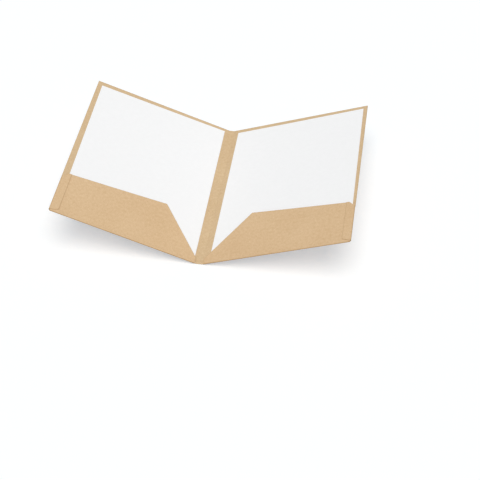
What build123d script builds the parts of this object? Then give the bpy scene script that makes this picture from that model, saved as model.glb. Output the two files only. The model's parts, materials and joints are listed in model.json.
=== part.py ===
"""Two-pocket presentation folder of creased kraft card, standing open in a shallow V.

One die-cut blank gives every card panel: the spine, a cover on each side of it, a pocket flap
folded up along the bottom of each cover, and a glue tab folded in from each outer edge over the
end of the pocket flap. A loose A4 sheet stands in each pocket. The folds are round strips, and
each cover turns about the round nose of its spine crease.

Millimetres, +Z up, Y along the spine from bottom to top, X across it. The origin is the middle
of the spine's underside. Each side is drawn flat first, as (reach, rise, lift): reach is measured
from the crease outwards, rise from the bottom fold upwards, lift from the middle of the cover's card.
"""
import os

from build123d import *

# Card blank
board = 0.6
spine_width = 8.0
opening_angle = 20.0
die_corner_radius = 1.0

# Spine creases
crease_strip_width = 1.4
crease_clearance = 0.05

# Pocket flaps
pocket_gap = 1.0
pocket_inset = 3.0
pocket_heel_height = 11.0
pocket_corner_reach = 65.0
pocket_corner_height = 94.5
pocket_outer_height = 83.0
pocket_side_clearance = 0.3

# Glue tabs and the relief cut that they share with the pocket flap
tab_width = 13.5
tab_foot_rise = 2.0
tab_foot_chamfer = 4.5
tab_foot_radius = 2.5
relief_width = 9.0
relief_height = 9.0
glue_film_thickness = 0.05
glue_margin = 2.0

# Loose sheets, and the room that each cover leaves beside and above them
sheet_width = 210.0
sheet_height = 297.0
cover_side_room = 15.0
cover_end_room = 13.0
sheet_thickness = 0.15
sheet_air_film = 0.1
front_sheet_inset = 6.0
front_sheet_rise = 5.4
front_sheet_skew = -0.6
back_sheet_inset = 10.0
back_sheet_rise = 5.5
back_sheet_skew = 0.5

# Sizes that follow from the ones above
half_board = board / 2
cover_width = sheet_width + cover_side_room
cover_height = sheet_height + cover_end_room
pocket_floor = half_board + pocket_gap
pocket_face = pocket_floor + board
tab_floor = pocket_face + glue_film_thickness
pocket_fold_radius = pocket_gap / 2
pocket_fold_reach = pocket_fold_radius + board
tab_fold_radius = (tab_floor - half_board) / 2
tab_fold_reach = tab_fold_radius + board
tab_crease = cover_width - tab_fold_reach
tab_edge = cover_width - tab_width
tab_top = pocket_outer_height - relief_height
relief_reach = cover_width - relief_width
pocket_outer_reach = tab_crease - pocket_side_clearance
cover_start = half_board + crease_clearance
crease_height = cover_height - pocket_fold_reach


def pocket_top(reach):
    """Height of the pocket's top edge, which falls slightly from the free corner outwards."""
    fall = (pocket_corner_height - pocket_outer_height) / (relief_reach - pocket_corner_reach)
    return pocket_corner_height - fall * (reach - pocket_corner_reach)


def relief_top(reach):
    """Height of the slanted relief cut at the outer end of the pocket's top edge."""
    slope = relief_height / (tab_crease - relief_reach)
    return pocket_outer_height - slope * (reach - relief_reach)


def panel(points, floor, thickness):
    """Flat panel cut to an outline, lying on the given lift."""
    outline = make_face(Polyline(*points, close=True))
    return Pos(0, 0, floor) * extrude(outline, thickness, dir=(0, 0, 1))


def die_cut(solid, corner, radius):
    """Round the upright edge that stands at one corner of a panel, as a cutting die leaves it."""
    upright = solid.edges().filter_by(Axis.Z)
    edge = upright.sort_by_distance((*corner, solid.center().Z))[0]
    return fillet(edge, radius)


def half_ring(inner_radius, start_angle):
    """Section of a half-round fold, one card thick."""
    inner = CenterArc((0, 0), inner_radius, start_angle, 180)
    outer = CenterArc((0, 0), inner_radius + board, start_angle, 180)
    return make_face([inner, Line(inner @ 1, outer @ 1), outer, Line(outer @ 0, inner @ 0)])


def cover():
    """Cover panel, stepped in along the glue tab's crease."""
    top_corner = (cover_width, cover_height)
    solid = panel(
        [
            (cover_start, pocket_fold_reach),
            (tab_crease, pocket_fold_reach),
            (tab_crease, tab_top),
            (cover_width, tab_top),
            top_corner,
            (cover_start, cover_height),
        ],
        -half_board,
        board,
    )
    return die_cut(solid, top_corner, die_corner_radius)


def pocket_fold():
    """Round fold along the bottom edge that turns the card up into the pocket flap."""
    middle = half_board + pocket_fold_radius
    section = Plane.YZ * half_ring(pocket_fold_radius, 90)
    length = pocket_outer_reach - pocket_inset
    return Pos(pocket_inset, pocket_fold_reach, middle) * extrude(section, length, dir=(1, 0, 0))


def pocket():
    """Pocket flap with a slanted free corner and a relief cut at its outer end."""
    free_corner = (pocket_corner_reach, pocket_corner_height)
    solid = panel(
        [
            (pocket_inset, pocket_fold_reach),
            (pocket_outer_reach, pocket_fold_reach),
            (pocket_outer_reach, relief_top(pocket_outer_reach)),
            (relief_reach, pocket_outer_height),
            free_corner,
            (pocket_inset, pocket_heel_height),
        ],
        pocket_floor,
        board,
    )
    return die_cut(solid, free_corner, die_corner_radius)


def tab_fold():
    """Round fold at the outer edge that turns the card in over the end of the pocket flap."""
    middle = half_board + tab_fold_radius
    section = Plane.XZ * half_ring(tab_fold_radius, -90)
    length = tab_top - tab_foot_rise
    return Pos(tab_crease, tab_foot_rise, middle) * extrude(section, length, dir=(0, 1, 0))


def glue_tab():
    """Glue tab with a slanted, rounded foot, trimmed flush with the pocket's relief cut."""
    foot_corner = (tab_edge, tab_foot_rise + tab_foot_chamfer)
    solid = panel(
        [
            (tab_crease, tab_foot_rise),
            (tab_crease, tab_top),
            (relief_reach, pocket_outer_height),
            (tab_edge, pocket_top(tab_edge)),
            foot_corner,
        ],
        tab_floor,
        board,
    )
    return die_cut(solid, foot_corner, tab_foot_radius)


def glue_film():
    """Film of glue between the tab and the pocket flap, set in from the edges of both."""
    inner = tab_edge + glue_margin
    outer = pocket_outer_reach - glue_margin
    foot_slope = tab_foot_chamfer / (tab_crease - tab_edge)
    return panel(
        [
            (inner, tab_foot_rise + glue_margin + tab_foot_chamfer),
            (outer, tab_foot_rise + glue_margin + foot_slope * (tab_crease - outer)),
            (outer, relief_top(outer) - glue_margin),
            (relief_reach, pocket_outer_height - glue_margin),
            (inner, pocket_top(inner) - glue_margin),
        ],
        pocket_face,
        glue_film_thickness,
    )


def sheet(inset, rise, skew):
    """Loose sheet between cover and pocket flap, a little crooked, as it was dropped in."""
    paper = extrude(Rectangle(sheet_width, sheet_height), sheet_thickness, dir=(0, 0, 1))
    middle = (inset + sheet_width / 2, rise + sheet_height / 2, half_board + sheet_air_film)
    return Pos(*middle) * Rot(0, 0, skew) * paper


def spine():
    """Flat spine panel between the two pressed crease strips."""
    width = spine_width - 2 * crease_strip_width
    block = Box(width, crease_height, board, align=(Align.CENTER, Align.MAX, Align.MIN))
    return Pos(0, cover_height / 2, 0) * block


def spine_crease():
    """Pressed crease strip on the back cover's side, ending in the round nose that the cover turns about."""
    strip_start = -crease_strip_width
    nose = CenterArc((0, 0), half_board, -90, 180)
    foot = Line((strip_start, -half_board), nose @ 0)
    roof = Line(nose @ 1, (strip_start, half_board))
    section = Plane.XZ * make_face([foot, nose, roof, Line(roof @ 1, foot @ 0)])
    strip = extrude(section, crease_height, dir=(0, -1, 0))
    return Pos(spine_width / 2, cover_height / 2, half_board) * strip


def folder_side(sheet_inset, sheet_rise, sheet_skew):
    """Every piece of one side, drawn flat with its crease at the origin."""
    return {
        "cover": cover(),
        "pocket_fold": pocket_fold(),
        "pocket": pocket(),
        "tab_fold": tab_fold(),
        "glue_tab": glue_tab(),
        "glue_film": glue_film(),
        "sheet": sheet(sheet_inset, sheet_rise, sheet_skew),
    }


def folder():
    """Every piece of the folder by name, with both covers raised to the opening angle."""
    pieces = {"spine": spine(), "back_spine_crease": spine_crease()}
    pieces["front_spine_crease"] = mirror(pieces["back_spine_crease"], about=Plane.YZ)
    raise_back = Pos(spine_width / 2, -cover_height / 2, half_board) * Rot(0, -opening_angle, 0)
    raise_front = Pos(-spine_width / 2, -cover_height / 2, half_board) * Rot(0, opening_angle, 0)
    back_side = folder_side(back_sheet_inset, back_sheet_rise, back_sheet_skew)
    front_side = folder_side(front_sheet_inset, front_sheet_rise, front_sheet_skew)
    for name, solid in back_side.items():
        pieces["back_" + name] = raise_back * solid
    for name, solid in front_side.items():
        pieces["front_" + name] = raise_front * mirror(solid, about=Plane.YZ)
    return pieces


os.makedirs("parts", exist_ok=True)
for node, piece in folder().items():
    export_step(piece, "parts/" + node + ".step")
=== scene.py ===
"""Looks of an open two-pocket folder of kraft board, built around its solid model.

Every panel is a copy of its solid with softened die-cut edges. The folds and the loose sheets are
grown by geometry nodes, and the spine creases are strips, bent to the covers' opening, that join the spine
to the covers.
Metres throughout. Each side of the folder also has a flat layout of its own, (reach, rise, lift):
reach runs from the spine crease outwards, rise from the bottom fold upwards, and lift from the
middle of the cover's board towards the inside of the folder.
"""
import json
import math

import bmesh
import bpy
from mathutils import Matrix, Vector
from mathutils.bvhtree import BVHTree


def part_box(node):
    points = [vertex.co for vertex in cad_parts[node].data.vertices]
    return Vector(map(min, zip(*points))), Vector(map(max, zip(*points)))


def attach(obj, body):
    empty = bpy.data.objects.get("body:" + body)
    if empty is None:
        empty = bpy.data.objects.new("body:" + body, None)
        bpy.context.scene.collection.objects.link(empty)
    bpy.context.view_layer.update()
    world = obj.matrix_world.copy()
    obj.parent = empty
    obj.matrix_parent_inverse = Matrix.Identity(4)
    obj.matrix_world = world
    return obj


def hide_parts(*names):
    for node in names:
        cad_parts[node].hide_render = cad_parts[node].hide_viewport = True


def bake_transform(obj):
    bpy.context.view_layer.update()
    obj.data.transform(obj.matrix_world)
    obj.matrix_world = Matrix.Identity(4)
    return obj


bl_info = {
    "name": "Two-pocket folder",
    "version": (1, 0, 0),
    "blender": (4, 5, 0),
    "location": "3D View > Sidebar > Folder",
    "description": "Builds a two-pocket folder of kraft board with a loose sheet in each pocket",
    "category": "Add Mesh",
}

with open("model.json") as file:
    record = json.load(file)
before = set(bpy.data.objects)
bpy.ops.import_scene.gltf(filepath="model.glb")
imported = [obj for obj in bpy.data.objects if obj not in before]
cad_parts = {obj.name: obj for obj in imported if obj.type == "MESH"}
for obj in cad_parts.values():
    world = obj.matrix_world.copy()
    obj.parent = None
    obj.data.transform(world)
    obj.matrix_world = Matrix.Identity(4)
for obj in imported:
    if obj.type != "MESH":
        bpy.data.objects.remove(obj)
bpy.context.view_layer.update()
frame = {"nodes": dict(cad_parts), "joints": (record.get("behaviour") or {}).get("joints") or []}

MM = 0.001
SIDES = ("front", "back")

# Names of the layers that the board's material reads, and how dark a cut edge's rim is painted: partly
# bruised fibres, partly painted shade
BLANK_MAP = "blank"
BRUISE_AND_SHADE_MAP = "bruise"
RIM_BRUISE_AND_SHADE = 0.6

# Order of the board's materials on a mesh
OUTER, INNER, EDGE = range(3)

# Mesh clean-up
WELD_DISTANCE = 0.001 * MM
CONTACT_DISTANCE = 0.005 * MM
FLAT_ANGLE = math.radians(0.5)
SMOOTH_ANGLE = math.radians(20)
EDGE_SEGMENTS = 2
GRID_STEP = 5 * MM

# Cosines to a panel's upright above which a face shows a side of the board, and is wholly flat
SIDE_FACE_LIMIT = 0.5
FACE_LIMIT = 0.999


def linear(hex_code):
    """Linear RGBA of an sRGB hex colour."""
    parts = [int(hex_code[i:i + 2], 16) / 255 for i in (0, 2, 4)]
    return [p / 12.92 if p <= 0.04045 else ((p + 0.055) / 1.055) ** 2.4 for p in parts] + [1.0]


def smooth_step(share):
    """Smooth rise from 0 to 1."""
    share = min(max(share, 0.0), 1.0)
    return share * share * (3 - 2 * share)


class BoardSettings(bpy.types.PropertyGroup):
    """Sizes and colours of the kraft board and its glue."""

    edge_radius: bpy.props.FloatProperty(
        name="Edge radius", description="Rounding that the cutting die leaves on an edge",
        default=0.07 * MM, unit="LENGTH", subtype="DISTANCE")
    bend_length: bpy.props.FloatProperty(
        name="Bend length", description="Length of board that bends beside each spine crease",
        default=1.5 * MM, unit="LENGTH", subtype="DISTANCE")
    bead_height: bpy.props.FloatProperty(
        name="Bead height", description="Height of the bead that the creasing rule raises inside",
        default=0.04 * MM, unit="LENGTH", subtype="DISTANCE")
    bead_width: bpy.props.FloatProperty(
        name="Bead width", description="Half width of that bead",
        default=0.5 * MM, unit="LENGTH", subtype="DISTANCE")
    pocket_bow: bpy.props.FloatProperty(
        name="Pocket bow", description="How far the pocket would stand off at the spine, level with its top",
        default=1.5 * MM, unit="LENGTH", subtype="DISTANCE")
    fold_ripple: bpy.props.FloatProperty(
        name="Fold ripple", description="Unevenness of a round fold along its length",
        default=0.05 * MM, unit="LENGTH", subtype="DISTANCE")
    # The rim is partly bruised board and partly painted shade for the thin shadow lines along the edges
    rim_width: bpy.props.FloatProperty(
        name="Rim width", description="Width of the darker rim, bruised and painted with shade, under the radius of a die-cut corner",
        default=0.8 * MM, unit="LENGTH", subtype="DISTANCE")
    outer_light: bpy.props.FloatVectorProperty(
        name="Outer face, light", description="Lighter tone of the board's outer face",
        default=linear("DEC19C"), size=4, min=0, max=1, subtype="COLOR")
    outer_dark: bpy.props.FloatVectorProperty(
        name="Outer face, dark", description="Darker tone of the board's outer face",
        default=linear("CAA880"), size=4, min=0, max=1, subtype="COLOR")
    inner_light: bpy.props.FloatVectorProperty(
        name="Inner face, light", description="Lighter tone of the board's inner face",
        default=linear("D9C09C"), size=4, min=0, max=1, subtype="COLOR")
    inner_dark: bpy.props.FloatVectorProperty(
        name="Inner face, dark", description="Darker tone of the board's inner face",
        default=linear("C5A680"), size=4, min=0, max=1, subtype="COLOR")
    # Both cut-edge tones are darker than the faces: painted shade for the thin shadow lines along the edges
    edge_light: bpy.props.FloatVectorProperty(
        name="Cut edge, light", description="Lighter tone of the cut fibres",
        default=linear("CBAD86"), size=4, min=0, max=1, subtype="COLOR")
    edge_dark: bpy.props.FloatVectorProperty(
        name="Cut edge, dark", description="Darker tone between the plies",
        default=linear("B09470"), size=4, min=0, max=1, subtype="COLOR")
    # Bruise colour: partly bruised board, partly painted shade along cut edges and on the noses of folds
    bruise: bpy.props.FloatVectorProperty(
        name="Bruise and painted shade", description="Tone of bruised board and of painted shade along cut edges and on the noses of folds",
        default=linear("AE8C62"), size=4, min=0, max=1, subtype="COLOR")
    speck: bpy.props.FloatVectorProperty(
        name="Speck", description="Bark specks in the pulp",
        default=linear("9A7448"), size=4, min=0, max=1, subtype="COLOR")
    glue: bpy.props.FloatVectorProperty(
        name="Glue", description="Colour of the dried glue",
        default=linear("E9DFC6"), size=4, min=0, max=1, subtype="COLOR")


class SheetSettings(bpy.types.PropertyGroup):
    """Curl and colour of the loose sheets."""

    spine_lift: bpy.props.FloatProperty(
        name="Spine edge lift", description="How far the edge beside the spine stands off the cover",
        default=0.45 * MM, unit="LENGTH", subtype="DISTANCE")
    top_lift: bpy.props.FloatProperty(
        name="Top edge lift", description="How far the top edge stands off the cover",
        default=0.15 * MM, unit="LENGTH", subtype="DISTANCE")
    paper_light: bpy.props.FloatVectorProperty(
        name="Paper, light", description="Lighter tone of the paper",
        default=linear("F4F4F6"), size=4, min=0, max=1, subtype="COLOR")
    paper_dark: bpy.props.FloatVectorProperty(
        name="Paper, dark", description="Darker tone of the paper",
        default=linear("F0F0F2"), size=4, min=0, max=1, subtype="COLOR")


class StageSettings(bpy.types.PropertyGroup):
    """Camera, light and floor."""

    camera_place: bpy.props.FloatVectorProperty(
        name="Camera place", description="Where the camera stands",
        default=(0.24312, -1.3585, 1.23432), unit="LENGTH", subtype="TRANSLATION")
    azimuth: bpy.props.FloatProperty(
        name="Azimuth", description="Turn of the camera to the right of the spine",
        default=math.radians(8.641), subtype="ANGLE")
    elevation: bpy.props.FloatProperty(
        name="Elevation", description="Height of the camera above the horizon",
        default=math.radians(44.007), subtype="ANGLE")
    focal_length: bpy.props.FloatProperty(
        name="Focal length", description="Focal length in millimetres",
        default=90.28, unit="CAMERA")
    softbox_level: bpy.props.FloatProperty(
        name="Softbox level", description="Share of plain light that comes from the overhead softbox",
        default=0.82, subtype="FACTOR")
    softbox_colour: bpy.props.FloatVectorProperty(
        name="Softbox colour", description="Colour of the softbox's light",
        default=linear("FFF9F2")[:3], min=0, max=1, subtype="COLOR")
    softbox_spread: bpy.props.FloatProperty(
        name="Softbox spread", description="Angle that the softbox fills overhead",
        default=math.radians(45), subtype="ANGLE")
    softbox_tilt: bpy.props.FloatVectorProperty(
        name="Softbox tilt", description="Lean of the softbox away from straight overhead",
        default=(math.radians(20), math.radians(4), 0), size=3, subtype="EULER")
    room_level: bpy.props.FloatProperty(
        name="Room level", description="Share of plain light that comes from all round",
        default=0.35, subtype="FACTOR")
    room_colour: bpy.props.FloatVectorProperty(
        name="Room colour", description="Colour of the light from all round",
        default=linear("E5F5FF"), size=4, min=0, max=1, subtype="COLOR")
    floor_whiteness: bpy.props.FloatProperty(
        name="Floor whiteness", description="How far the floor shows white in spite of shadow",
        default=0.42, subtype="FACTOR")
    floor_glow: bpy.props.FloatVectorProperty(
        name="Floor glow", description="Colour of that white, cool enough to leave the shadow grey",
        default=linear("EAF4FF"), size=4, min=0, max=1, subtype="COLOR")
    glow_level: bpy.props.FloatProperty(
        name="Glow level", description="Strength of that white",
        default=1.12, subtype="FACTOR")
    floor_colour: bpy.props.FloatVectorProperty(
        name="Floor", description="Colour of the floor",
        default=linear("FFFDFA"), size=4, min=0, max=1, subtype="COLOR")


def add_node(tree, kind, values=None, **settings):
    """Add a node with its settings; each value is a socket to link from or a plain number or colour."""
    made = tree.nodes.new(kind)
    for key, value in settings.items():
        setattr(made, key, value)
    for key, value in (values or {}).items():
        if isinstance(value, bpy.types.NodeSocket):
            tree.links.new(value, made.inputs[key])
        else:
            made.inputs[key].default_value = value
    return made


def blank_material(name):
    """Empty node material, or the finished one of that name."""
    found = bpy.data.materials.get(name)
    if found:
        return found, None
    made = bpy.data.materials.new(name)
    made.use_nodes = True
    made.node_tree.nodes.clear()
    return made, made.node_tree


def end_surface(tree, height, relief, values):
    """End a material with a surface of these values, bumped by a height to the depth of the relief."""
    bump = add_node(tree, "ShaderNodeBump", {"Height": height, "Strength": 1.0, "Distance": relief})
    surface = add_node(tree, "ShaderNodeBsdfPrincipled", {**values, "Normal": bump.outputs[0]})
    add_node(tree, "ShaderNodeOutputMaterial", {"Surface": surface.outputs[0]})


def kraft_board(name, light, dark, shift):
    """Smooth face of unbleached kraft board.

    Long brown fibres, pressed but uncoated: matt, warm, faintly cloudy where the fibres clump, with
    short streaks along the machine direction, a felt of fine pale fibres close up and a few dark
    specks of bark. It is a shade darker along cut edges and on the noses of folds: partly bruised
    fibres, partly painted shade for the thin shadow lines at the edges and the shaded undersides of the
    folds.
    """
    material, tree = blank_material(name)
    if tree is None:
        return material
    settings = bpy.context.scene.folder_board
    cloud_size = 4.5 * MM
    drift_size = 60 * MM
    drift_tone = 0.4
    tone_range = (0.78, 1.78)
    clump_range = (0.6, 1.4)
    clump_roughness = (0.95, 0.8)
    # A fibre is about 0.04 mm wide; fibres and their streaks are drawn coarser so that they show.
    fibre_width = 0.12 * MM
    fibre_length = 1.8 * MM
    fibre_angles = [math.radians(angle) for angle in (-38, 4, 47)]
    fibre_range = (0.55, 0.75)
    fibre_tone = 0.35
    fibre_relief = 0.3
    streak_width = 0.9 * MM
    streak_stretch = 5.0
    speck_spacing = 12 * MM
    speck_radius = 0.35 * MM
    speck_core = 0.5 * speck_radius
    relief = 0.02 * MM

    flat = add_node(tree, "ShaderNodeUVMap", uv_map=BLANK_MAP).outputs["UV"]
    place = add_node(tree, "ShaderNodeMapping", {
        "Vector": flat, "Location": (shift, shift, 0)}).outputs["Vector"]
    along = add_node(tree, "ShaderNodeMapping", {
        "Vector": place, "Scale": (1, 1 / streak_stretch, 1)})
    cloud = add_node(tree, "ShaderNodeTexNoise", {
        "Vector": place, "Scale": 1 / cloud_size, "Detail": 3, "Roughness": 0.6})
    drift = add_node(tree, "ShaderNodeTexNoise", {
        "Vector": place, "Scale": 1 / drift_size, "Detail": 1})
    streak = add_node(tree, "ShaderNodeTexNoise", {
        "Vector": along.outputs["Vector"], "Scale": 1 / streak_width, "Detail": 2})
    specks = add_node(tree, "ShaderNodeTexVoronoi", {
        "Vector": place, "Scale": 1 / speck_spacing, "Randomness": 1})
    clumps = add_node(tree, "ShaderNodeMath", {
        0: cloud.outputs[0], 1: streak.outputs[0]}, operation="ADD").outputs[0]
    fibres = 0.0
    for angle in fibre_angles:
        lie = add_node(tree, "ShaderNodeMapping", {
            "Vector": place, "Rotation": (0, 0, angle),
            "Scale": (fibre_width, fibre_length, 1)}, vector_type="TEXTURE")
        layer = add_node(tree, "ShaderNodeTexNoise", {
            "Vector": lie.outputs["Vector"], "Scale": 1.0, "Detail": 1})
        line = add_node(tree, "ShaderNodeMapRange", {
            "Value": layer.outputs[0], "From Min": fibre_range[0], "From Max": fibre_range[1]})
        fibres = add_node(tree, "ShaderNodeMath", {
            0: line.outputs[0], 1: fibres}, operation="MAXIMUM").outputs[0]
    height = add_node(tree, "ShaderNodeMath", {
        0: fibres, 1: fibre_relief, 2: clumps}, operation="MULTIPLY_ADD")
    cloudy = add_node(tree, "ShaderNodeMath", {
        0: drift.outputs[0], 1: drift_tone, 2: clumps}, operation="MULTIPLY_ADD")
    tone = add_node(tree, "ShaderNodeMath", {
        0: fibres, 1: fibre_tone, 2: cloudy.outputs[0]}, operation="MULTIPLY_ADD")
    share = add_node(tree, "ShaderNodeMapRange", {
        "Value": tone.outputs[0], "From Min": tone_range[0], "From Max": tone_range[1]})
    colour = add_node(tree, "ShaderNodeMix", {
        0: share.outputs[0], 6: dark, 7: light}, data_type="RGBA")
    # Darkens towards the bruise colour where the layer asks: partly bruised fibres, partly painted shade at
    # cut edges and fold noses
    bruise = add_node(tree, "ShaderNodeAttribute", attribute_name=BRUISE_AND_SHADE_MAP).outputs["Fac"]
    bruised_and_shaded = add_node(tree, "ShaderNodeMix", {
        0: bruise, 6: colour.outputs[2], 7: settings.bruise}, data_type="RGBA")
    speck = add_node(tree, "ShaderNodeMapRange", {
        "Value": specks.outputs["Distance"], "From Min": speck_radius / speck_spacing,
        "From Max": speck_core / speck_spacing})
    speckled = add_node(tree, "ShaderNodeMix", {
        0: speck.outputs[0], 6: bruised_and_shaded.outputs[2], 7: settings.speck}, data_type="RGBA")
    roughness = add_node(tree, "ShaderNodeMapRange", {
        "Value": clumps, "From Min": clump_range[0], "From Max": clump_range[1],
        "To Min": clump_roughness[0], "To Max": clump_roughness[1]})
    end_surface(tree, height.outputs[0], relief, {
        "Base Color": speckled.outputs[2], "Roughness": roughness.outputs[0], "IOR": 1.5,
        "Specular IOR Level": 0.3})
    return material


def cut_edge():
    """Die-cut edge of kraft board.

    The knife leaves torn fibre ends and open plies: rougher than the faces and finely mottled. It is a
    shade darker than the faces, which is painted shade for the thin shadow lines along the edges.
    """
    material, tree = blank_material("Kraft board, die-cut edge")
    if tree is None:
        return material
    settings = bpy.context.scene.folder_board
    # A tuft of fibre ends is about 0.1 mm across; it is drawn coarser so that it shows.
    fibre_size = 0.5 * MM
    relief = 0.03 * MM
    place = add_node(tree, "ShaderNodeTexCoord").outputs["Object"]
    fibre = add_node(tree, "ShaderNodeTexNoise", {
        "Vector": place, "Scale": 1 / fibre_size, "Detail": 2, "Roughness": 0.6})
    colour = add_node(tree, "ShaderNodeMix", {
        0: fibre.outputs[0], 6: settings.edge_dark, 7: settings.edge_light}, data_type="RGBA")
    end_surface(tree, fibre.outputs[0], relief, {
        "Base Color": colour.outputs[2], "Roughness": 0.95, "IOR": 1.5, "Specular IOR Level": 0.2})
    return material


def office_paper():
    """Uncoated white office paper.

    Bleached short fibres with filler: an even, cool white with no shine and a barely visible cloud.
    """
    material, tree = blank_material("Uncoated white paper")
    if tree is None:
        return material
    settings = bpy.context.scene.folder_sheet
    cloud_size = 6 * MM
    # The tooth of such paper is about 0.1 mm; it is drawn coarser so that it shows.
    tooth_size = 0.8 * MM
    relief = 0.006 * MM
    place = add_node(tree, "ShaderNodeTexCoord").outputs["Object"]
    cloud = add_node(tree, "ShaderNodeTexNoise", {
        "Vector": place, "Scale": 1 / cloud_size, "Detail": 2})
    tooth = add_node(tree, "ShaderNodeTexNoise", {
        "Vector": place, "Scale": 1 / tooth_size, "Detail": 2})
    colour = add_node(tree, "ShaderNodeMix", {
        0: cloud.outputs[0], 6: settings.paper_dark, 7: settings.paper_light}, data_type="RGBA")
    end_surface(tree, tooth.outputs[0], relief, {
        "Base Color": colour.outputs[2], "Roughness": 0.92, "IOR": 1.5, "Specular IOR Level": 0.25})
    return material


def dried_glue():
    """Dried white glue: a pale, slightly glossy film, uneven where it was pressed out."""
    material, tree = blank_material("Dried white glue")
    if tree is None:
        return material
    smear_size = 3 * MM
    smear_roughness = (0.25, 0.55)
    relief = 0.02 * MM
    place = add_node(tree, "ShaderNodeTexCoord").outputs["Object"]
    smear = add_node(tree, "ShaderNodeTexNoise", {
        "Vector": place, "Scale": 1 / smear_size, "Detail": 2})
    gloss = add_node(tree, "ShaderNodeMapRange", {
        "Value": smear.outputs[0], "To Min": smear_roughness[0], "To Max": smear_roughness[1]})
    end_surface(tree, smear.outputs[0], relief, {
        "Base Color": bpy.context.scene.folder_board.glue, "Roughness": gloss.outputs[0], "IOR": 1.46})
    return material


def board_materials():
    """The board's outer face, inner face and cut edge, in that order."""
    settings = bpy.context.scene.folder_board
    # Where each face's pattern starts, in metres, so that the two faces differ. The outer face's start
    # places the slow drift of its tone so that its lighter and darker patches follow how the pockets are
    # lit: painted light and shade
    outer_shift_for_painted_shade = 0.88
    inner_shift = 1.94
    return [
        kraft_board("Kraft board, outer face", settings.outer_light, settings.outer_dark, outer_shift_for_painted_shade),
        kraft_board("Kraft board, inner face", settings.inner_light, settings.inner_dark, inner_shift),
        cut_edge(),
    ]


def cover_joint(side):
    """Record of the fold between the spine and one cover."""
    return next(j for j in frame["joints"] if j["name"] == side + "_cover_fold")


def opening_angle(side):
    """Angle that a cover stands open from flat on the table."""
    return math.radians(-cover_joint(side)["range_deg"][0])


def layout(side):
    """Matrix from a side's flat layout to the open folder. The front side's is mirrored."""
    crease = Vector(cover_joint(side)["pos_m"])
    angle = opening_angle(side)
    outwards = math.copysign(1, crease.x)
    reach = Vector((outwards * math.cos(angle), 0, math.sin(angle)))
    lift = Vector((-outwards * math.sin(angle), 0, math.cos(angle)))
    matrix = Matrix((reach, Vector((0, 1, 0)), lift)).transposed().to_4x4()
    matrix.translation = Vector((crease.x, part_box(side + "_pocket_fold")[0].y, crease.z))
    return matrix


def flat_points(side, node):
    """Corners of a solid in its side's flat layout."""
    inverse = layout(side).inverted()
    return [inverse @ v.co for v in frame["nodes"][side + "_" + node].data.vertices]


def flat_box(side, node):
    """Lowest and highest (reach, rise, lift) of a solid."""
    columns = list(zip(*flat_points(side, node)))
    return Vector(map(min, columns)), Vector(map(max, columns))


def board_thickness():
    """Thickness of the board, from the cover's solid."""
    low, high = flat_box("back", "cover")
    return high.z - low.z


def is_seam(face, up, neighbours):
    """True if a side face of a panel lies against another piece of the same blank."""
    if abs(face.normal.dot(up)) > SIDE_FACE_LIMIT:
        return False
    centre = face.calc_center_median()
    return any(tree.find_nearest(centre, CONTACT_DISTANCE)[0] for tree in neighbours)


def panel_copy(node, matrix):
    """Copy of a panel's solid with whole flat faces and softened cut edges."""
    settings = bpy.context.scene.folder_board
    up = matrix.col[2].to_3d()
    bm = bmesh.new()
    bm.from_mesh(frame["nodes"][node].data)
    bmesh.ops.remove_doubles(bm, verts=bm.verts, dist=WELD_DISTANCE)
    bmesh.ops.dissolve_limit(bm, angle_limit=FLAT_ANGLE, verts=bm.verts, edges=bm.edges)
    neighbours = []
    for name, other in frame["nodes"].items():
        if name != node and "sheet" not in name and "film" not in name:
            points = [v.co for v in other.data.vertices]
            faces = [tuple(p.vertices) for p in other.data.polygons]
            neighbours.append(BVHTree.FromPolygons(points, faces))
    seams = {f for f in bm.faces if is_seam(f, up, neighbours)}
    cut = [
        e for e in bm.edges
        if e.calc_face_angle(0) > SMOOTH_ANGLE and not seams.intersection(e.link_faces)
    ]
    bmesh.ops.bevel(
        bm, geom=cut, offset=settings.edge_radius, offset_type="OFFSET", segments=EDGE_SEGMENTS,
        profile=0.5, affect="EDGES", clamp_overlap=True)
    faces = [f for f in bm.faces if abs(f.normal.dot(up)) > FACE_LIMIT]
    bmesh.ops.inset_region(
        bm, faces=faces, thickness=settings.rim_width, use_even_offset=True, use_boundary=True)
    # The rim round each cut edge is painted darker: partly die bruising, partly painted shade for the thin
    # shadow lines along the edges
    bruise = bm.verts.layers.float.new(BRUISE_AND_SHADE_MAP)
    for vertex in bm.verts:
        vertex[bruise] = RIM_BRUISE_AND_SHADE
    for face in faces + [f for f in bm.faces if is_seam(f, up, neighbours)]:
        for vertex in face.verts:
            vertex[bruise] = 0.0
    return bm


def cut_through(bm, point, direction, clear_inner=False):
    """Cut a mesh along a plane, and drop what lies behind the plane if asked to."""
    bmesh.ops.bisect_plane(
        bm, geom=bm.verts[:] + bm.edges[:] + bm.faces[:], dist=WELD_DISTANCE, plane_co=point,
        plane_no=direction, clear_inner=clear_inner)


def cut_grid(bm, side, node):
    """Divide a flat panel along its reach and its rise so that it can bow."""
    matrix = layout(side)
    low, high = flat_box(side, node)
    for axis in (0, 1):
        direction = matrix.col[axis].to_3d()
        steps = math.ceil((high[axis] - low[axis]) / GRID_STEP)
        for step in range(1, steps):
            point = Vector(low)
            point[axis] += step * (high[axis] - low[axis]) / steps
            cut_through(bm, matrix @ point, direction)


def paint_faces(mesh, up, upper, lower):
    """Give each face the material of the side of the board that it shows."""
    for face in mesh.polygons:
        facing = face.normal.dot(up)
        face.material_index = EDGE
        if facing > SIDE_FACE_LIMIT:
            face.material_index = upper
        elif facing < -SIDE_FACE_LIMIT:
            face.material_index = lower


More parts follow.
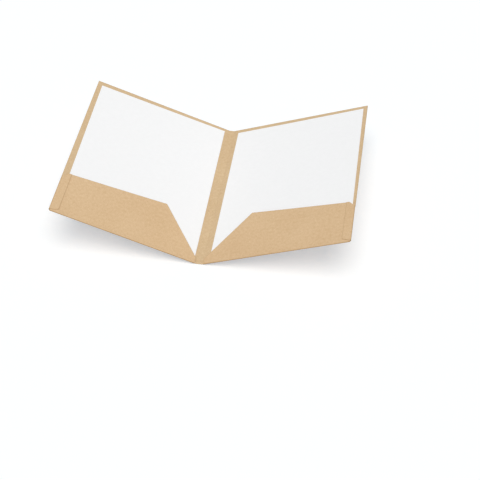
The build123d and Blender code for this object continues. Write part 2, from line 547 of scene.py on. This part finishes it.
def lay_out_blank(mesh, matrix, unfold):
    """Store where each corner lay on the flat blank, so that the fibres run on across the folds."""
    inverse = matrix.inverted()
    uv_layer = mesh.uv_layers.new(name=BLANK_MAP)
    places = [unfold(inverse @ v.co) for v in mesh.vertices]
    for loop in mesh.loops:
        uv_layer.uv[loop.index].vector = places[loop.vertex_index]


def blank_place(side, reach, rise):
    """Place on the flat blank of a point at this reach and rise on the unfolded side."""
    crease = cover_joint(side)["pos_m"][0]
    return Vector((crease + math.copysign(reach, crease), rise))


def fold_middle(side, node):
    """Start of a round fold's axis, as (reach, rise, lift), and the radius of its middle surface."""
    low, high = flat_box(side, node)
    radius = (high.z - low.z - board_thickness()) / 2
    rise = high.y if node == "pocket_fold" else low.y
    return Vector((low.x, rise, radius)), radius


def add_object(name, data):
    """Add an object with this data to the scene."""
    made = bpy.data.objects.new(name, data)
    bpy.context.scene.collection.objects.link(made)
    return made


def add_piece(name, mesh, replaced):
    """Add a finished mesh to the scene as a piece that stands for one solid."""
    mesh.name = name
    mesh.shade_smooth()
    mesh.set_sharp_from_angle(angle=SMOOTH_ANGLE)
    piece = add_object(name, mesh)
    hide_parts(replaced)
    return piece


def board_mesh(bm):
    """Mesh of kraft board from a bmesh, which is freed."""
    mesh = bpy.data.meshes.new("board")
    bm.to_mesh(mesh)
    bm.free()
    for material in board_materials():
        mesh.materials.append(material)
    return mesh


def add_panel(node, bm, matrix, faces, unfold):
    """Add a flat panel of board with its upper and lower face painted and laid out on the blank."""
    mesh = board_mesh(bm)
    paint_faces(mesh, matrix.col[2].to_3d(), *faces)
    lay_out_blank(mesh, matrix, unfold)
    return add_piece(node + "_board", mesh, node)


class FolderOperator:
    """What every operator of the folder shares."""

    bl_options = {"REGISTER", "UNDO"}


class FOLDER_OT_spine(FolderOperator, bpy.types.Operator):
    """Add the flat spine panel between the two creases"""

    bl_idname = "folder.spine"
    bl_label = "Spine"

    def execute(self, context):
        base = Matrix.Translation((0, layout("back").translation.y, 0))
        bm = panel_copy("spine", base)
        piece = add_panel("spine", bm, base, (INNER, OUTER), lambda p: p.xy)
        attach(piece, "spine")
        return {"FINISHED"}


class FOLDER_OT_creases(FolderOperator, bpy.types.Operator):
    """Add the two pressed creases, bent to the covers' opening"""

    bl_idname = "folder.creases"
    bl_label = "Spine creases"

    across_steps = 28
    along_step = 6 * MM

    def section(self, side, start):
        """Upper and lower outline of a crease, across it, as (across, up) from the cover's axis."""
        settings = bpy.context.scene.folder_board
        half = board_thickness() / 2
        middle = settings.bend_length / 2
        upper = []
        lower = []
        for step in range(self.across_steps + 1):
            across = start + (settings.bend_length - start) * step / self.across_steps
            angle = opening_angle(side) * smooth_step(across / settings.bend_length)
            bead = settings.bead_height * math.exp(-((across - middle) / settings.bead_width) ** 2)
            turn = Matrix.Rotation(angle, 2)
            upper.append((across, turn @ Vector((across, half + bead))))
            lower.append((across, turn @ Vector((across, bead - half))))
        return upper, lower

    def make(self, side):
        """Closed strip of one crease."""
        node = side + "_spine_crease"
        crease = Vector(cover_joint(side)["pos_m"])
        outwards = math.copysign(1, crease.x)
        low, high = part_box(node)
        start = min(abs(low.x), abs(high.x)) - abs(crease.x)
        upper, lower = self.section(side, start)
        ring = upper + lower[::-1]
        rows = math.ceil((high.y - low.y) / self.along_step)
        bm = bmesh.new()
        uv_layer = bm.loops.layers.uv.new(BLANK_MAP)
        flat = {}
        loops = []
        for row in range(rows + 1):
            y = low.y + (high.y - low.y) * row / rows
            loop = []
            for across, point in ring:
                vertex = bm.verts.new((crease.x + outwards * point.x, y, crease.z + point.y))
                flat[vertex] = Vector((crease.x + outwards * across, y - layout(side).translation.y))
                loop.append(vertex)
            loops.append(loop)
        count = len(ring)
        for near, far in zip(loops, loops[1:]):
            for i in range(count):
                face = bm.faces.new((near[i], near[(i + 1) % count], far[(i + 1) % count], far[i]))
                face.material_index = INNER if i < len(upper) - 1 else OUTER
                if i in (len(upper) - 1, count - 1):
                    face.material_index = EDGE
        for loop in (loops[0], loops[-1]):
            for i in range(len(upper) - 1):
                face = bm.faces.new((loop[i], loop[i + 1], loop[count - 2 - i], loop[count - 1 - i]))
                face.material_index = EDGE
        for face in bm.faces:
            for corner in face.loops:
                corner[uv_layer].uv = flat[corner.vert]
        bmesh.ops.recalc_face_normals(bm, faces=bm.faces)
        piece = add_piece(node + "_board", board_mesh(bm), node)
        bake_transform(piece)

    def execute(self, context):
        for side in SIDES:
            self.make(side)
        return {"FINISHED"}


class FOLDER_OT_covers(FolderOperator, bpy.types.Operator):
    """Add the two covers, each from the end of its crease outwards"""

    bl_idname = "folder.covers"
    bl_label = "Covers"

    def execute(self, context):
        for side in SIDES:
            matrix = layout(side)
            node = side + "_cover"
            bm = panel_copy(node, matrix)
            bend_end = matrix @ Vector((context.scene.folder_board.bend_length, 0, 0))
            cut_through(bm, bend_end, matrix.col[0].to_3d(), clear_inner=True)
            bmesh.ops.holes_fill(bm, edges=[e for e in bm.edges if e.is_boundary])
            piece = add_panel(
                node, bm, matrix, (INNER, OUTER), lambda p: blank_place(side, p.x, p.y))
            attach(piece, side + "_cover")
        return {"FINISHED"}


class FOLDER_OT_pockets(FolderOperator, bpy.types.Operator):
    """Add the two pocket flaps, which stand off a little at their free corner"""

    bl_idname = "folder.pockets"
    bl_label = "Pockets"

    def execute(self, context):
        for side in SIDES:
            matrix = layout(side)
            up = matrix.col[2].to_3d()
            node = side + "_pocket"
            bm = panel_copy(node, matrix)
            cut_grid(bm, side, "pocket")
            inverse = matrix.inverted()
            low, high = flat_box(side, "pocket")
            glued = flat_box(side, "glue_tab")[0].x
            for vertex in bm.verts:
                place = inverse @ vertex.co
                free = max(0, 1 - (place.x - low.x) / (glued - low.x))
                height = (place.y - low.y) / (high.y - low.y)
                vertex.co += up * context.scene.folder_board.pocket_bow * (free * height) ** 2
            middle, radius = fold_middle(side, "pocket_fold")
            turned = 2 * middle.y - math.pi * radius
            piece = add_panel(
                node, bm, matrix, (OUTER, INNER), lambda p: blank_place(side, p.x, turned - p.y))
            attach(piece, side + "_cover")
        return {"FINISHED"}


class FOLDER_OT_glue_tabs(FolderOperator, bpy.types.Operator):
    """Add the two glue tabs and the glue under them"""

    bl_idname = "folder.glue_tabs"
    bl_label = "Glue tabs"

    def execute(self, context):
        for side in SIDES:
            matrix = layout(side)
            node = side + "_glue_tab"
            bm = panel_copy(node, matrix)
            middle, radius = fold_middle(side, "tab_fold")
            turned = 2 * middle.x + math.pi * radius
            piece = add_panel(
                node, bm, matrix, (OUTER, INNER), lambda p: blank_place(side, turned - p.x, p.y))
            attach(piece, side + "_cover")
            film = frame["nodes"][side + "_glue_film"]
            film.data.materials.clear()
            film.data.materials.append(dried_glue())
        return {"FINISHED"}


FACE_INPUTS = [
    ("Thickness", "Float"), ("Upper face", "Material"), ("Lower face", "Material"), ("Edge", "Material")]


def new_tree(name, inputs):
    """Geometry node tree with named inputs, given as (name, kind of socket)."""
    tree = bpy.data.node_groups.new(name, "GeometryNodeTree")
    for label, kind in inputs:
        tree.interface.new_socket(label, in_out="INPUT", socket_type="NodeSocket" + kind)
    tree.interface.new_socket("Geometry", in_out="OUTPUT", socket_type="NodeSocketGeometry")
    return tree, add_node(tree, "NodeGroupInput").outputs


def thickness_tree():
    """Node group that gives a middle surface its thickness and the materials of its faces."""
    name = "Sheet thickness"
    if name in bpy.data.node_groups:
        return bpy.data.node_groups[name]
    tree, given = new_tree(name, [("Surface", "Geometry"), *FACE_INPUTS])
    normal = add_node(tree, "GeometryNodeInputNormal").outputs[0]
    half = add_node(tree, "ShaderNodeMath", {0: given["Thickness"], 1: -0.5}, operation="MULTIPLY")
    down = add_node(tree, "ShaderNodeVectorMath", {0: normal, "Scale": half.outputs[0]}, operation="SCALE")
    base = add_node(tree, "GeometryNodeSetPosition", {
        "Geometry": given["Surface"], "Offset": down.outputs[0]}).outputs[0]
    raised = add_node(tree, "GeometryNodeExtrudeMesh", {
        "Mesh": base, "Offset Scale": given["Thickness"], "Individual": False})
    under = add_node(tree, "GeometryNodeFlipFaces", {"Mesh": base})
    both = add_node(tree, "GeometryNodeJoinGeometry", {"Geometry": raised.outputs["Mesh"]})
    tree.links.new(under.outputs[0], both.inputs["Geometry"])
    shell = add_node(tree, "GeometryNodeMergeByDistance", {
        "Geometry": both.outputs[0], "Distance": WELD_DISTANCE})
    whole = add_node(tree, "GeometryNodeRealizeInstances", {"Geometry": shell.outputs[0]}).outputs[0]
    lower = add_node(tree, "GeometryNodeSetMaterial", {
        "Geometry": whole, "Material": given["Lower face"]})
    upper = add_node(tree, "GeometryNodeSetMaterial", {
        "Geometry": lower.outputs[0], "Selection": raised.outputs["Top"], "Material": given["Upper face"]})
    edge = add_node(tree, "GeometryNodeSetMaterial", {
        "Geometry": upper.outputs[0], "Selection": raised.outputs["Side"], "Material": given["Edge"]})
    add_node(tree, "NodeGroupOutput", {"Geometry": edge.outputs[0]})
    return tree


def thicken(tree, surface, given):
    """End a tree with the thickness group, fed by the inputs that they share."""
    fed = {label: given[label] for label, _ in FACE_INPUTS}
    shell = add_node(tree, "GeometryNodeGroup", {"Surface": surface, **fed}, node_tree=thickness_tree())
    add_node(tree, "NodeGroupOutput", {"Geometry": shell.outputs[0]})


def fold_tree():
    """Node tree of a round fold: a half turn of board along X, with its nose towards -Y."""
    name = "Round fold"
    if name in bpy.data.node_groups:
        return bpy.data.node_groups[name]
    noise_middle = 0.5
    nose_fade = 2.0
    tree, given = new_tree(name, [
        ("Length", "Float"), ("Radius", "Float"), ("Ripple", "Float"), ("Ripple length", "Float"),
        ("Rows", "Int"), ("Turn steps", "Int"), ("Seed", "Float"), *FACE_INPUTS])
    grid = add_node(tree, "GeometryNodeMeshGrid", {
        "Size X": given["Length"], "Size Y": math.pi, "Vertices X": given["Rows"],
        "Vertices Y": given["Turn steps"]})
    place = add_node(tree, "ShaderNodeSeparateXYZ", {
        0: add_node(tree, "GeometryNodeInputPosition").outputs[0]})
    # The grid lies round its middle, so half its length is added to count from its start.
    along = add_node(tree, "ShaderNodeMath", {
        0: given["Length"], 1: 0.5, 2: place.outputs["X"]}, operation="MULTIPLY_ADD").outputs[0]
    out = add_node(tree, "ShaderNodeMath", {0: place.outputs["Y"]}, operation="COSINE").outputs[0]
    rise = add_node(tree, "ShaderNodeMath", {0: place.outputs["Y"]}, operation="SINE").outputs[0]
    count = add_node(tree, "ShaderNodeMath", {
        0: along, 1: given["Ripple length"]}, operation="DIVIDE").outputs[0]
    shifted = add_node(tree, "ShaderNodeMath", {0: count, 1: given["Seed"]}, operation="ADD").outputs[0]
    wave = add_node(tree, "ShaderNodeTexNoise", {
        "W": shifted, "Scale": 1.0, "Detail": 2}, noise_dimensions="1D")
    swing = add_node(tree, "ShaderNodeMath", {
        0: wave.outputs[0], 1: -noise_middle}, operation="ADD").outputs[0]
    free = add_node(tree, "ShaderNodeMath", {0: swing, 1: out}, operation="MULTIPLY").outputs[0]
    radius = add_node(tree, "ShaderNodeMath", {
        0: free, 1: given["Ripple"], 2: given["Radius"]}, operation="MULTIPLY_ADD").outputs[0]
    inwards = add_node(tree, "ShaderNodeMath", {0: radius, 1: -1.0}, operation="MULTIPLY").outputs[0]
    y = add_node(tree, "ShaderNodeMath", {0: inwards, 1: out}, operation="MULTIPLY").outputs[0]
    z = add_node(tree, "ShaderNodeMath", {0: radius, 1: rise}, operation="MULTIPLY").outputs[0]
    bent = add_node(tree, "ShaderNodeCombineXYZ", {"X": along, "Y": y, "Z": z}).outputs[0]
    # The nose of each fold is painted darker: partly fibres stretched over the fold, partly painted shade
    # standing in for the dark line of the fold's shaded underside
    nose = add_node(tree, "ShaderNodeMath", {0: out, 1: nose_fade}, operation="POWER").outputs[0]
    marked = add_node(tree, "GeometryNodeStoreNamedAttribute", {
        "Geometry": grid.outputs["Mesh"], "Name": BRUISE_AND_SHADE_MAP, "Value": nose}, domain="POINT").outputs[0]
    surface = add_node(tree, "GeometryNodeSetPosition", {
        "Geometry": marked, "Position": bent}).outputs[0]
    thicken(tree, surface, given)
    return tree


def sheet_tree():
    """Node tree of a loose sheet: it lies along X and Y and curls up at X = 0 and at its top edge."""
    name = "Loose sheet"
    if name in bpy.data.node_groups:
        return bpy.data.node_groups[name]
    spine_curl = 6.0
    top_curl = 5.0
    tree, given = new_tree(name, [
        ("Width", "Float"), ("Height", "Float"), ("Spine lift", "Float"), ("Top lift", "Float"),
        ("Columns", "Int"), ("Rows", "Int"), *FACE_INPUTS])
    grid = add_node(tree, "GeometryNodeMeshGrid", {
        "Size X": given["Width"], "Size Y": given["Height"], "Vertices X": given["Columns"],
        "Vertices Y": given["Rows"]})
    place = add_node(tree, "ShaderNodeSeparateXYZ", {
        0: add_node(tree, "GeometryNodeInputPosition").outputs[0]})
    # The grid lies round its middle, so half its size is added to count from the sheet's foot.
    x = add_node(tree, "ShaderNodeMath", {
        0: given["Width"], 1: 0.5, 2: place.outputs["X"]}, operation="MULTIPLY_ADD").outputs[0]
    y = add_node(tree, "ShaderNodeMath", {
        0: given["Height"], 1: 0.5, 2: place.outputs["Y"]}, operation="MULTIPLY_ADD").outputs[0]
    outwards = add_node(tree, "ShaderNodeMath", {0: x, 1: given["Width"]}, operation="DIVIDE").outputs[0]
    upwards = add_node(tree, "ShaderNodeMath", {0: y, 1: given["Height"]}, operation="DIVIDE").outputs[0]
    to_spine = add_node(tree, "ShaderNodeMath", {0: 1.0, 1: outwards}, operation="SUBTRACT").outputs[0]
    edge = add_node(tree, "ShaderNodeMath", {0: to_spine, 1: spine_curl}, operation="POWER").outputs[0]
    top = add_node(tree, "ShaderNodeMath", {0: upwards, 1: top_curl}, operation="POWER").outputs[0]
    edge_lift = add_node(tree, "ShaderNodeMath", {
        0: edge, 1: given["Spine lift"]}, operation="MULTIPLY").outputs[0]
    z = add_node(tree, "ShaderNodeMath", {
        0: top, 1: given["Top lift"], 2: edge_lift}, operation="MULTIPLY_ADD").outputs[0]
    curled = add_node(tree, "ShaderNodeCombineXYZ", {"X": x, "Y": y, "Z": z}).outputs[0]
    surface = add_node(tree, "GeometryNodeSetPosition", {
        "Geometry": grid.outputs["Mesh"], "Position": curled}).outputs[0]
    thicken(tree, surface, given)
    return tree


def grow(tree, matrix, values):
    """Plain mesh that a node tree gives for these named inputs, put in place."""
    carrier = add_object("carrier", bpy.data.meshes.new("carrier"))
    modifier = carrier.modifiers.new(tree.name, "NODES")
    modifier.node_group = tree
    for socket in tree.interface.items_tree:
        if socket.in_out == "INPUT":
            modifier[socket.identifier] = values[socket.name]
    evaluated = carrier.evaluated_get(bpy.context.evaluated_depsgraph_get())
    mesh = bpy.data.meshes.new_from_object(evaluated)
    carrier.modifiers.remove(modifier)
    bpy.data.objects.remove(carrier)
    # The grid that the tree starts from brings an empty first material slot.
    if mesh.materials[0] is None:
        mesh.materials.pop(index=0)
    mesh.transform(matrix)
    if matrix.is_negative:
        mesh.flip_normals()
    return mesh


class FOLDER_OT_folds(FolderOperator, bpy.types.Operator):
    """Add the round folds under the pockets and beside the glue tabs"""

    bl_idname = "folder.folds"
    bl_label = "Round folds"

    row_step = 1.5 * MM
    turn_steps = 25
    ripple_length = 12 * MM
    pocket_seed = 10.0
    tab_seed = 20.0

    def grow_fold(self, side, place, length, radius, seed):
        """Mesh of a fold whose local X runs along it and whose nose points to -Y."""
        settings = bpy.context.scene.folder_board
        outer, inner, edge = board_materials()
        return grow(fold_tree(), layout(side) @ place, {
            "Length": length, "Radius": radius, "Ripple": settings.fold_ripple,
            "Ripple length": self.ripple_length, "Rows": math.ceil(length / self.row_step) + 1,
            "Turn steps": self.turn_steps, "Seed": seed, "Thickness": board_thickness(),
            "Upper face": outer, "Lower face": inner, "Edge": edge})

    def finish(self, side, node, mesh, unfold):
        """Lay the fold out on the blank and add it as a piece."""
        lay_out_blank(mesh, layout(side), unfold)
        name = side + "_" + node
        piece = add_piece(name + "_board", mesh, name)
        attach(piece, side + "_cover")

    def execute(self, context):
        for number, side in enumerate(SIDES):
            low, high = flat_box(side, "pocket_fold")
            middle, radius = fold_middle(side, "pocket_fold")
            place = Matrix.Translation(middle)
            mesh = self.grow_fold(side, place, high.x - low.x, radius, self.pocket_seed + number)

            def unfold_pocket(p):
                turn = math.pi / 2 + math.atan2(p.z - middle.z, middle.y - p.y)
                return blank_place(side, p.x, middle.y - radius * turn)

            self.finish(side, "pocket_fold", mesh, unfold_pocket)
            low, high = flat_box(side, "tab_fold")
            middle, radius = fold_middle(side, "tab_fold")
            quarter = Matrix(((0, -1, 0), (1, 0, 0), (0, 0, 1))).to_4x4()
            place = Matrix.Translation(middle) @ quarter
            mesh = self.grow_fold(side, place, high.y - low.y, radius, self.tab_seed + number)

            def unfold_tab(p):
                turn = math.pi / 2 + math.atan2(p.z - middle.z, p.x - middle.x)
                return blank_place(side, middle.x + radius * turn, p.y)

            self.finish(side, "tab_fold", mesh, unfold_tab)
        return {"FINISHED"}


class FOLDER_OT_sheets(FolderOperator, bpy.types.Operator):
    """Add the loose sheet of paper in each pocket"""

    bl_idname = "folder.sheets"
    bl_label = "Loose sheets"

    step = 4 * MM
    place_digits = 6

    def corner(self, points, reach_sign, rise_sign):
        """Lower corner of a sheet that lies furthest along these signs of reach and rise."""
        return max(points, key=lambda p: (
            round(reach_sign * p.x + rise_sign * p.y, self.place_digits), -p.z))

    def execute(self, context):
        settings = context.scene.folder_sheet
        paper = office_paper()
        for side in SIDES:
            node = side + "_sheet"
            points = flat_points(side, "sheet")
            low, high = flat_box(side, "sheet")
            thickness = high.z - low.z
            foot = self.corner(points, -1, -1)
            outer_foot = self.corner(points, 1, -1)
            top = self.corner(points, -1, 1)
            across = outer_foot - foot
            upwards = top - foot
            turned = Matrix((across.normalized(), upwards.normalized(), Vector((0, 0, 1))))
            place = turned.transposed().to_4x4()
            place.translation = foot + Vector((0, 0, thickness / 2))
            mesh = grow(sheet_tree(), layout(side) @ place, {
                "Width": across.length, "Height": upwards.length, "Spine lift": settings.spine_lift,
                "Top lift": settings.top_lift, "Columns": math.ceil(across.length / self.step),
                "Rows": math.ceil(upwards.length / self.step), "Thickness": thickness,
                "Upper face": paper, "Lower face": paper, "Edge": paper})
            piece = add_piece(node + "_paper", mesh, node)
            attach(piece, node)
        return {"FINISHED"}


def seen_directly(tree):
    """Socket that is 1 for rays of the camera, a reflection or a clear piece, and 0 for the others."""
    path = add_node(tree, "ShaderNodeLightPath").outputs
    seen = add_node(tree, "ShaderNodeMath", {
        0: path["Is Camera Ray"], 1: path["Is Glossy Ray"]}, operation="MAXIMUM")
    return add_node(tree, "ShaderNodeMath", {
        0: seen.outputs[0], 1: path["Is Transmission Ray"]}, operation="MAXIMUM").outputs[0]


def studio_floor(settings):
    """Matt white floor: it shows white to the camera and keeps the folder's shadow."""
    material, tree = blank_material("Matt white floor")
    if tree is None:
        return material
    share = add_node(tree, "ShaderNodeMath", {
        0: seen_directly(tree), 1: settings.floor_whiteness}, operation="MULTIPLY")
    matt = add_node(tree, "ShaderNodeBsdfDiffuse", {"Color": settings.floor_colour})
    white = add_node(tree, "ShaderNodeEmission", {
        "Color": settings.floor_glow, "Strength": settings.glow_level})
    surface = add_node(tree, "ShaderNodeMixShader", {
        0: share.outputs[0], 1: matt.outputs[0], 2: white.outputs[0]})
    add_node(tree, "ShaderNodeOutputMaterial", {"Surface": surface.outputs[0]})
    return material


class FOLDER_OT_stage(FolderOperator, bpy.types.Operator):
    """Add the floor, the soft light and the camera"""

    bl_idname = "folder.stage"
    bl_label = "Stage"

    floor_half_width = 12.0
    floor_drop = 0.02 * MM
    lamp_height = 2.0

    def add_floor(self, settings):
        """Large plain floor just under the spine."""
        size = self.floor_half_width
        corners = [(-size, -size), (size, -size), (size, size), (-size, size)]
        mesh = bpy.data.meshes.new("floor")
        mesh.from_pydata([(x, y, -self.floor_drop) for x, y in corners], [], [(0, 1, 2, 3)])
        mesh.materials.append(studio_floor(settings))
        floor = add_object("floor", mesh)

    def add_light(self, settings):
        """Overhead softbox, and even light from all round."""
        lamp = bpy.data.lights.new("softbox", "SUN")
        lamp.energy = math.pi * settings.softbox_level
        lamp.color = settings.softbox_colour
        lamp.angle = settings.softbox_spread
        softbox = add_object("softbox", lamp)
        softbox.location = (0, 0, self.lamp_height)
        softbox.rotation_euler = settings.softbox_tilt
        world = bpy.data.worlds.new("studio")
        world.use_nodes = True
        tree = world.node_tree
        tree.nodes.clear()
        room = add_node(tree, "ShaderNodeBackground", {
            "Color": settings.room_colour, "Strength": settings.room_level})
        backdrop = add_node(tree, "ShaderNodeBackground", {"Color": (1, 1, 1, 1), "Strength": 1.0})
        mixed = add_node(tree, "ShaderNodeMixShader", {
            0: seen_directly(tree), 1: room.outputs[0], 2: backdrop.outputs[0]})
        add_node(tree, "ShaderNodeOutputWorld", {"Surface": mixed.outputs[0]})
        bpy.context.scene.world = world

    def add_camera(self, settings):
        """Camera that looks down on the open folder."""
        camera_data = bpy.data.cameras.new("camera")
        camera_data.lens = settings.focal_length
        camera = add_object("camera", camera_data)
        camera.location = settings.camera_place
        level = math.cos(settings.elevation)
        look = Vector((
            -math.sin(settings.azimuth) * level, math.cos(settings.azimuth) * level,
            -math.sin(settings.elevation)))
        camera.rotation_mode = "QUATERNION"
        camera.rotation_quaternion = look.to_track_quat("-Z", "Y")
        bpy.context.scene.camera = camera

    def execute(self, context):
        settings = context.scene.folder_stage
        self.add_floor(settings)
        self.add_light(settings)
        self.add_camera(settings)
        context.scene.view_settings.view_transform = "Standard"
        return {"FINISHED"}


class FOLDER_PT_panel(bpy.types.Panel):
    """Sidebar panel with every step of the folder"""

    bl_idname = "FOLDER_PT_panel"
    bl_label = "Two-pocket folder"
    bl_space_type = "VIEW_3D"
    bl_region_type = "UI"
    bl_category = "Folder"

    def draw(self, context):
        for place, group in SETTINGS.items():
            for name in group.__annotations__:
                self.layout.prop(getattr(context.scene, place), name)
        for step in OPERATORS:
            self.layout.operator(step.bl_idname)


SETTINGS = {
    "folder_board": BoardSettings,
    "folder_sheet": SheetSettings,
    "folder_stage": StageSettings,
}
OPERATORS = (
    FOLDER_OT_spine,
    FOLDER_OT_creases,
    FOLDER_OT_covers,
    FOLDER_OT_folds,
    FOLDER_OT_pockets,
    FOLDER_OT_glue_tabs,
    FOLDER_OT_sheets,
    FOLDER_OT_stage,
)


def register():
    """Register the settings, the operators and the panel."""
    for name, group in SETTINGS.items():
        bpy.utils.register_class(group)
        setattr(bpy.types.Scene, name, bpy.props.PointerProperty(type=group))
    for step in OPERATORS:
        bpy.utils.register_class(step)
    bpy.utils.register_class(FOLDER_PT_panel)


def unregister():
    """Remove the panel, the operators and the settings."""
    bpy.utils.unregister_class(FOLDER_PT_panel)
    for step in reversed(OPERATORS):
        bpy.utils.unregister_class(step)
    for name, group in reversed(SETTINGS.items()):
        delattr(bpy.types.Scene, name)
        bpy.utils.unregister_class(group)


def main():
    """Build the folder and its stage."""
    register()
    bpy.ops.folder.spine()
    bpy.ops.folder.creases()
    bpy.ops.folder.covers()
    bpy.ops.folder.folds()
    bpy.ops.folder.pockets()
    bpy.ops.folder.glue_tabs()
    bpy.ops.folder.sheets()
    bpy.ops.folder.stage()


if __name__ == "__main__":
    main()
